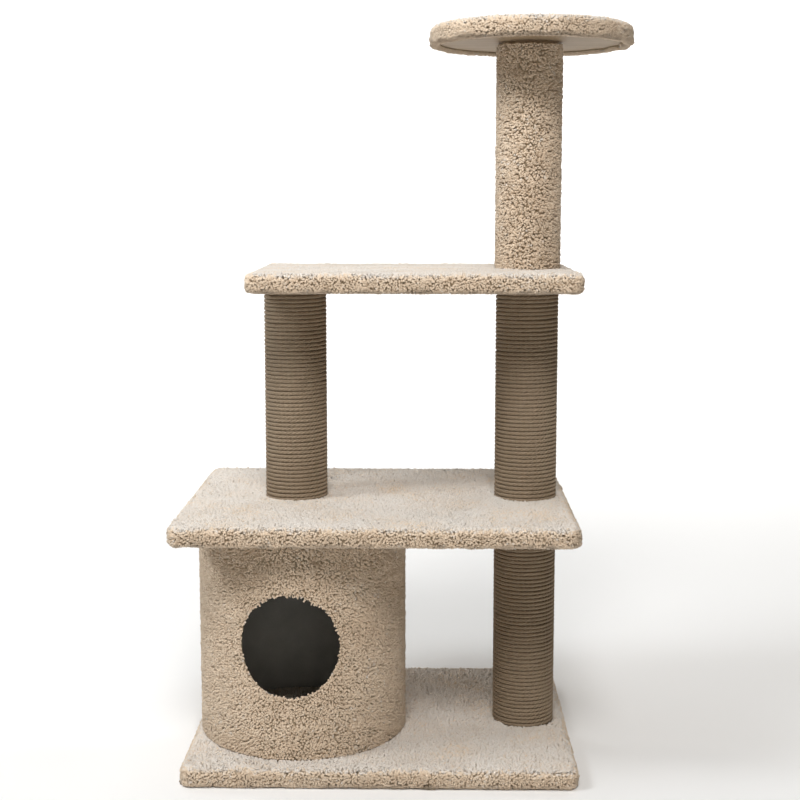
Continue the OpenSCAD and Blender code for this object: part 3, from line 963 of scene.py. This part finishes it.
def board_carpet(seed, slab, feet, posts, holes=()):
    """One board's whole carpet. feet are the posts that stand on it, posts are those under
    it, and holes (x, y, radius) are cut out of it."""
    rng = np.random.default_rng(seed)
    backing = board_backing(slab, [round_loop(*hole) for hole in holes], posts)
    outline = slab.outline(400, slab.side_t + EDGE_BEND)
    feet = [post.foot() for post in feet] + list(holes)
    pieces = top_pile(rng, slab.name + "_top_pile", outline, slab.board.top + BACKING_T,
                      slab.top, feet)
    pieces += edge_pile(rng, slab, posts)
    width, depth = slab.flat_size()
    if slab.is_round:
        area = pi * width * depth / 4
    else:
        area = width * depth - 4 * slab.wrap_length() ** 2
    area -= sum(pi * radius ** 2 for _, _, radius in holes)
    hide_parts(slab.name + "_carpet")


# ------ sheets on tubes

def wall_sheet(name, wall, loops, spacing=8 * MM, relief=None, **finish):
    """A sheet round a tube, its face at the wall's radius, or raised from it by a relief."""
    flat, triangles = flat_patch(wall.outline(spacing), loops, spacing)
    verts, normals, _ = wall.at(flat[:, 0], flat[:, 1])
    if relief:
        verts += normals * relief(flat)[:, None]
    if wall.inward:
        triangles = triangles[:, ::-1]
    return closed_sheet(name, verts, normals, [triangles], **finish)


def condo_carpet():
    """The condo's carpet, cut flat with a round hole, wrapped and seamed at the back."""
    rng = np.random.default_rng(5)
    wall = Wall("condo_carpet", CONDO_TUBE.half[1] + BACKING_T, CONDO_TURN)
    backing = wall_sheet("condo_carpet_backing", wall, [round_loop(*CARPET_HOLE)])
    pieces = wall_pile(rng, "condo_pile", wall, WALL_GAP, CONDO_CLUMPING, CARPET_HOLE)
    pieces += fringe_pile(rng, "condo_entrance_fringe", wall, CARPET_HOLE)
    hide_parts("condo_carpet")


def condo_lining():
    """Felt glued round the inside of the condo, with faint waves where it isn't quite flat."""
    rng = np.random.default_rng(6)
    thickness = 2.4 * MM
    wall = Wall("condo_lining", Box("condo_lining").half[1] - BACKING_GAP - thickness,
                CONDO_TURN + LINING_SEAM_TURN, inward=True)
    loop = round_loop(0, ENTRANCE_Z, LINING_HOLE_R)
    loop[:, 0] = wall.radius * (np.arcsin(loop[:, 0] / wall.radius) - LINING_SEAM_TURN)

    def waves(flat):
        return 0.35 * MM * np.abs(smooth_noise(rng, lifted(flat), 60 * MM))

    lining = wall_sheet("condo_lining_felt", wall, [loop], 6 * MM, waves,
                        thickness=thickness, material=FELT, slot="charcoal_felt")
    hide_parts("condo_lining")


def condo_floor():
    """A round of carpet, laid on the condo's floor disc."""
    rng = np.random.default_rng(7)
    space = Box("condo_floor_carpet")
    radius = space.half[0] - 0.5 * MM
    level = space.low + BACKING_T
    outer = round_loop(*space.centre, radius, count=160)
    flat, triangles = flat_patch(outer, [], 10 * MM)
    upward = lifted(np.zeros_like(flat), 1.0)
    backing = closed_sheet("condo_floor_backing", lifted(flat, level), upward, [triangles])
    outline = round_loop(*space.centre, radius - 1.5 * MM, count=160)
    pieces = top_pile(rng, "condo_floor_pile", outline, level, space.top, [])
    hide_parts("condo_floor_carpet")


def perch_post_carpet():
    """The sleeve of carpet round the perch's post, seamed at the back."""
    rng = np.random.default_rng(8)
    wall = Wall("perch_post_carpet", PERCH_POST.core_r + BACKING_T)
    backing = wall_sheet("perch_post_backing", wall, [], 6 * MM)
    pieces = wall_pile(rng, "perch_post_pile", wall, POST_GAP, POST_CLUMPING)
    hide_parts("perch_post_carpet")


# ------ rope

STRAND_STEP = 3.2 * MM        # length of rope between two rings of a strand
STRAND_SIDES = 5
STRAND_OUT = 0.27 * ROPE_DIA  # from the rope's middle to a strand's
STRAND_R = 0.262 * ROPE_DIA
ROPE_LAY = 22 * MM            # length in which a strand goes once round the rope


def rope_centre(post):
    """Points along the rope's middle, from its end at the back of the post's foot to its end
    at the back of the head, and the lengths to them."""
    rise = post.top - post.low - ROPE_DIA
    turns = math.ceil((post.top - post.low) / (0.98 * ROPE_DIA)) - 1
    radius = post.core_r + ROPE_DIA / 2
    total = turns * tau * radius
    count = int(total / STRAND_STEP / LANE_STEPS) * LANE_STEPS + 1
    share = np.linspace(0, 1, count)
    out = lifted(heading(pi / 2 + share * turns * tau))
    middle = lifted(np.tile(post.centre, (count, 1)), post.low + ROPE_DIA / 2 + rise * share)
    return middle, out, radius, share * total


def strand_faces(strand, count):
    """The quads of one strand of count rings, and the UV places of their corners. Its length
    is cut into lanes that lie side by side in the map."""
    i, j = np.meshgrid(np.arange(count - 1), np.arange(STRAND_SIDES), indexing="ij")
    i, j = i.reshape(-1), j.reshape(-1)
    after = (j + 1) % STRAND_SIDES
    a, b = i * STRAND_SIDES, (i + 1) * STRAND_SIDES
    first = strand * count * STRAND_SIDES
    lane = (i // LANE_STEPS + 5 * strand) % ROPE_LANES
    u0 = (lane + j / STRAND_SIDES) / ROPE_LANES
    u1 = u0 + 1 / STRAND_SIDES / ROPE_LANES
    v0 = (i % LANE_STEPS) / LANE_STEPS
    v1 = v0 + 1 / LANE_STEPS
    corners = [np.stack(c, 1) for c in ((u1, v0), (u1, v1), (u0, v1), (u0, v0))]
    faces = np.stack([a + after, b + after, b + j, a + j], 1) + first
    return faces, np.stack(corners, 1).reshape(-1, 2)


def wound_rope(seed, post):
    """One three-strand rope, wound tightly up the post."""
    rng = np.random.default_rng(seed)
    middle, out, radius, length = rope_centre(post)
    spots = np.outer(length, (1, 0, 0))
    wander = smooth_noise(rng, spots, 150 * MM) * 0.18 * MM
    turn = tau * np.arange(STRAND_SIDES) / STRAND_SIDES + pi
    verts, faces, uvs = [], [], []
    for strand in range(3):
        phase = length / ROPE_LAY * tau + strand * tau / 3
        fat = STRAND_R * (1 + 0.05 * smooth_noise(rng, spots, 30 * MM))
        centre = middle + out * (radius + STRAND_OUT * np.cos(phase))[:, None]
        centre[:, 2] += STRAND_OUT * np.sin(phase) + wander
        tangent = unit(np.gradient(centre, axis=0))
        side = unit(np.cross(tangent, out))
        outward = np.cross(side, tangent)
        ring = (centre[:, None] + fat[:, None, None]
                * (outward[:, None] * np.cos(turn)[:, None]
                   + side[:, None] * np.sin(turn)[:, None]))
        verts.append(ring.reshape(-1, 3))
        quads, corners = strand_faces(strand, len(length))
        faces.append(quads)
        uvs.append(corners)
    mesh = mesh_from_arrays(post.name + "_wound_rope", np.concatenate(verts),
                            [np.concatenate(faces)], np.concatenate(uvs))
    rope = new_object(mesh.name, mesh, SISAL)
    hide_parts(post.name + "_rope")
    loose_fibres(rng, post)


FIBRES = 450                  # loose ones on each post
FIBRE_R = 0.09 * MM           # at a fibre's root


def loose_fibres(rng, post):
    """Thin broken fibres that stand off the rope."""
    count, steps, sides = FIBRES, 5, 3
    angle = rng.uniform(0, tau, count)
    level = rng.uniform(post.low + 4 * MM, post.top - 4 * MM, count)
    size = rng.uniform(5, 15, count) * MM
    lift = rng.uniform(0.4, 2.2, count) * MM
    climb = rng.normal(0, 0.35, count)
    way = rng.choice([-1, 1], count)
    share = np.linspace(0, 1, steps)
    verts = np.empty((count, steps, sides, 3), np.float32)
    for k, t in enumerate(share):
        out = lifted(heading(angle + way * size * t / post.radius))
        away = post.radius - 0.5 * MM + lift * t * t
        centre = lifted(post.centre + out[:, :2] * away[:, None], level + climb * size * t)
        for side in range(sides):
            turn = tau * side / sides
            thin = FIBRE_R * (1 - 0.7 * t)
            offset = out * math.cos(turn) + (0, 0, math.sin(turn))
            verts[:, k, side] = centre + offset * thin
    last = (steps - 1) * sides
    caps = [list(range(sides))[::-1], list(range(last, last + sides))]
    faces = repeated([tube_walls(steps, sides), caps], count, steps * sides)
    shade = rng.uniform(0.05, 0.9, count)[:, None, None]
    uv = np.zeros((count, steps, sides, 2))
    uv[..., 0] = shade + np.linspace(0, 0.05, sides)
    uv[..., 1] = share[:, None]
    mesh = mesh_from_arrays(post.name + "_loose_fibres", verts.reshape(-1, 3), faces,
                            uv.reshape(-1, 2))
    new_object(mesh.name, mesh, FIBRE)


# ------ the CAD's own solids

def finish_cad_nodes():
    """Gives each CAD node the material of its slot."""
    looks = {
        "plywood": plywood_material(),
        "pine": pine_material(),
        "paper_tube": paper_material("paper_tube", (0.46, 0.34, 0.22), (0.33, 0.23, 0.14), 9.0),
        "cardboard": paper_material("cardboard", (0.52, 0.39, 0.26), (0.38, 0.27, 0.17), 4.0),
        "zinc_steel": metal_material("zinc_steel", (0.66, 0.67, 0.68), (0.48, 0.49, 0.51), 0.36),
        "yellow_zinc": metal_material("yellow_zinc", (0.70, 0.58, 0.31), (0.56, 0.46, 0.30),
                                      0.38),
        "cream_carpet": YARN,
        "sisal": SISAL,
        "charcoal_felt": FELT,
    }
    for part in frame["record"]["subparts"]:
        obj = nodes[part["node"]]
        if not obj.material_slots:
            obj.data.materials.append(None)
        for slot in obj.material_slots:
            slot.material = looks[part["material_slot"]]


# ------ the scene

BASE, MIDDLE, UPPER = Slab("base"), Slab("middle"), Slab("upper")
PERCH = Slab("perch", is_round=True)
LOWER_POST, LEFT_POST = Post("lower_post", "_rope"), Post("left_post", "_rope")
RIGHT_POST, PERCH_POST = Post("right_post", "_rope"), Post("perch_post", "_carpet")
CONDO_TUBE = Box("condo_tube")
CONDO_FOOT = (*CONDO_TUBE.centre, CONDO_TUBE.half[1] + 0.5 * MM)

YARN = pile_material()
JUTE = backing_material()
SISAL = sisal_material()
FIBRE = fibre_material()
FELT = felt_material()

camera()
floor_and_backdrop()
studio()
finish_cad_nodes()
board_carpet(1, BASE, feet=[LOWER_POST], posts=[], holes=[CONDO_FOOT])
board_carpet(2, MIDDLE, feet=[LEFT_POST, RIGHT_POST], posts=[LOWER_POST])
board_carpet(3, UPPER, feet=[PERCH_POST], posts=[LEFT_POST, RIGHT_POST])
board_carpet(4, PERCH, feet=[], posts=[])
condo_carpet()
condo_lining()
condo_floor()
perch_post_carpet()
wound_rope(11, LOWER_POST)
wound_rope(12, LEFT_POST)
wound_rope(13, RIGHT_POST)
